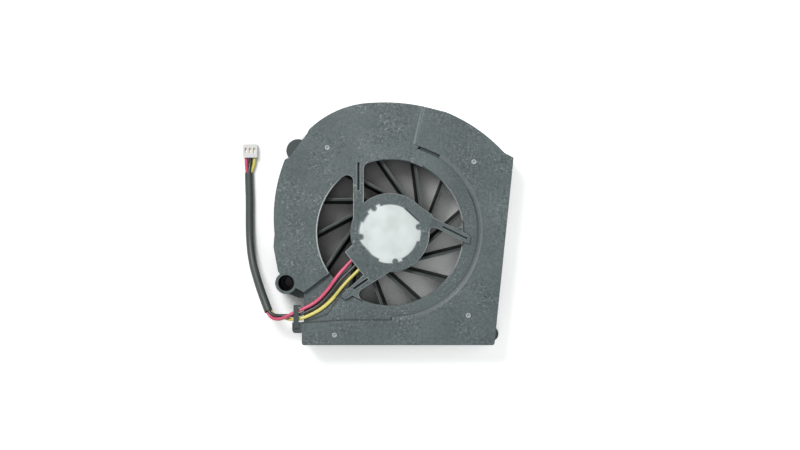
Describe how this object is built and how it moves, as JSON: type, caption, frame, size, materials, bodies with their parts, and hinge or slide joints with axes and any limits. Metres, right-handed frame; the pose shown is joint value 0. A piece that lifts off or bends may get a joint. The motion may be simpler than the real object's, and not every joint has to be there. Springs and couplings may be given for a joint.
{
  "type": "notebook blower fan",
  "caption": "Flat centrifugal cooling fan with a scroll casing, open inlet round a strutted hub, side outlet, bladed impeller and a short sleeved cable ending in a plug.",
  "frame": {"origin": "on the rotor axis, at the underside of the base plate", "axes": "+Z along the rotor axis out of the inlet side, +X out of the outlet slot"},
  "size_m": [0.0796, 0.0705, 0.0131],
  "materials": {
    "casing_plastic": "fine moulded texture, satin",
    "base_sheet": "plain rolled sheet",
    "rivet_metal": "formed",
    "disc_metal": "stamped, matt silver",
    "brass": "turned",
    "sintered_bronze": "sintered",
    "white_plastic": "moulded",
    "core_steel": "stacked laminations",
    "former_plastic": "moulded",
    "copper": "enamelled winding",
    "board_laminate": "solder mask",
    "chip_plastic": "moulded",
    "capacitor_ceramic": "fired",
    "solder": "reflowed",
    "impeller_plastic": "moulded, satin",
    "yoke_steel": "drawn",
    "magnet_ferrite": "bonded",
    "shaft_steel": "ground",
    "red_insulation": "extruded",
    "black_insulation": "extruded",
    "yellow_insulation": "extruded",
    "sleeve_tube": "extruded tube",
    "plug_nylon": "moulded",
    "contact_metal": "tin plated"
  },
  "bodies": {
    "casing": {"volute_housing": "casing_plastic", "base_plate": "base_sheet", "cover_rivets": "rivet_metal", "motor_base": "disc_metal", "bearing_tube": "brass", "sleeve_bearing": "sintered_bronze", "thrust_pad": "white_plastic", "stator_core": "core_steel", "lower_coil_former": "former_plastic", "upper_coil_former": "former_plastic", "stator_coils": "copper", "motor_board": "board_laminate", "driver_chip": "chip_plastic", "board_capacitors": "capacitor_ceramic", "solder_joints": "solder", "red_wire": "red_insulation", "black_wire": "black_insulation", "yellow_wire": "yellow_insulation", "wire_sleeve": "sleeve_tube", "plug_housing": "plug_nylon", "plug_contacts": "contact_metal"},
    "rotor": {"impeller": "impeller_plastic", "rotor_yoke": "yoke_steel", "ring_magnet": "magnet_ferrite", "rotor_bush": "brass", "rotor_shaft": "shaft_steel", "shaft_clip": "white_plastic"}
  },
  "joints": [
    {"name": "impeller_spin", "type": "hinge", "parent": "casing", "child": "rotor", "pos_m": [0, 0, 0.0055], "axis": [0, 0, -1], "continuous": true}
  ]
}
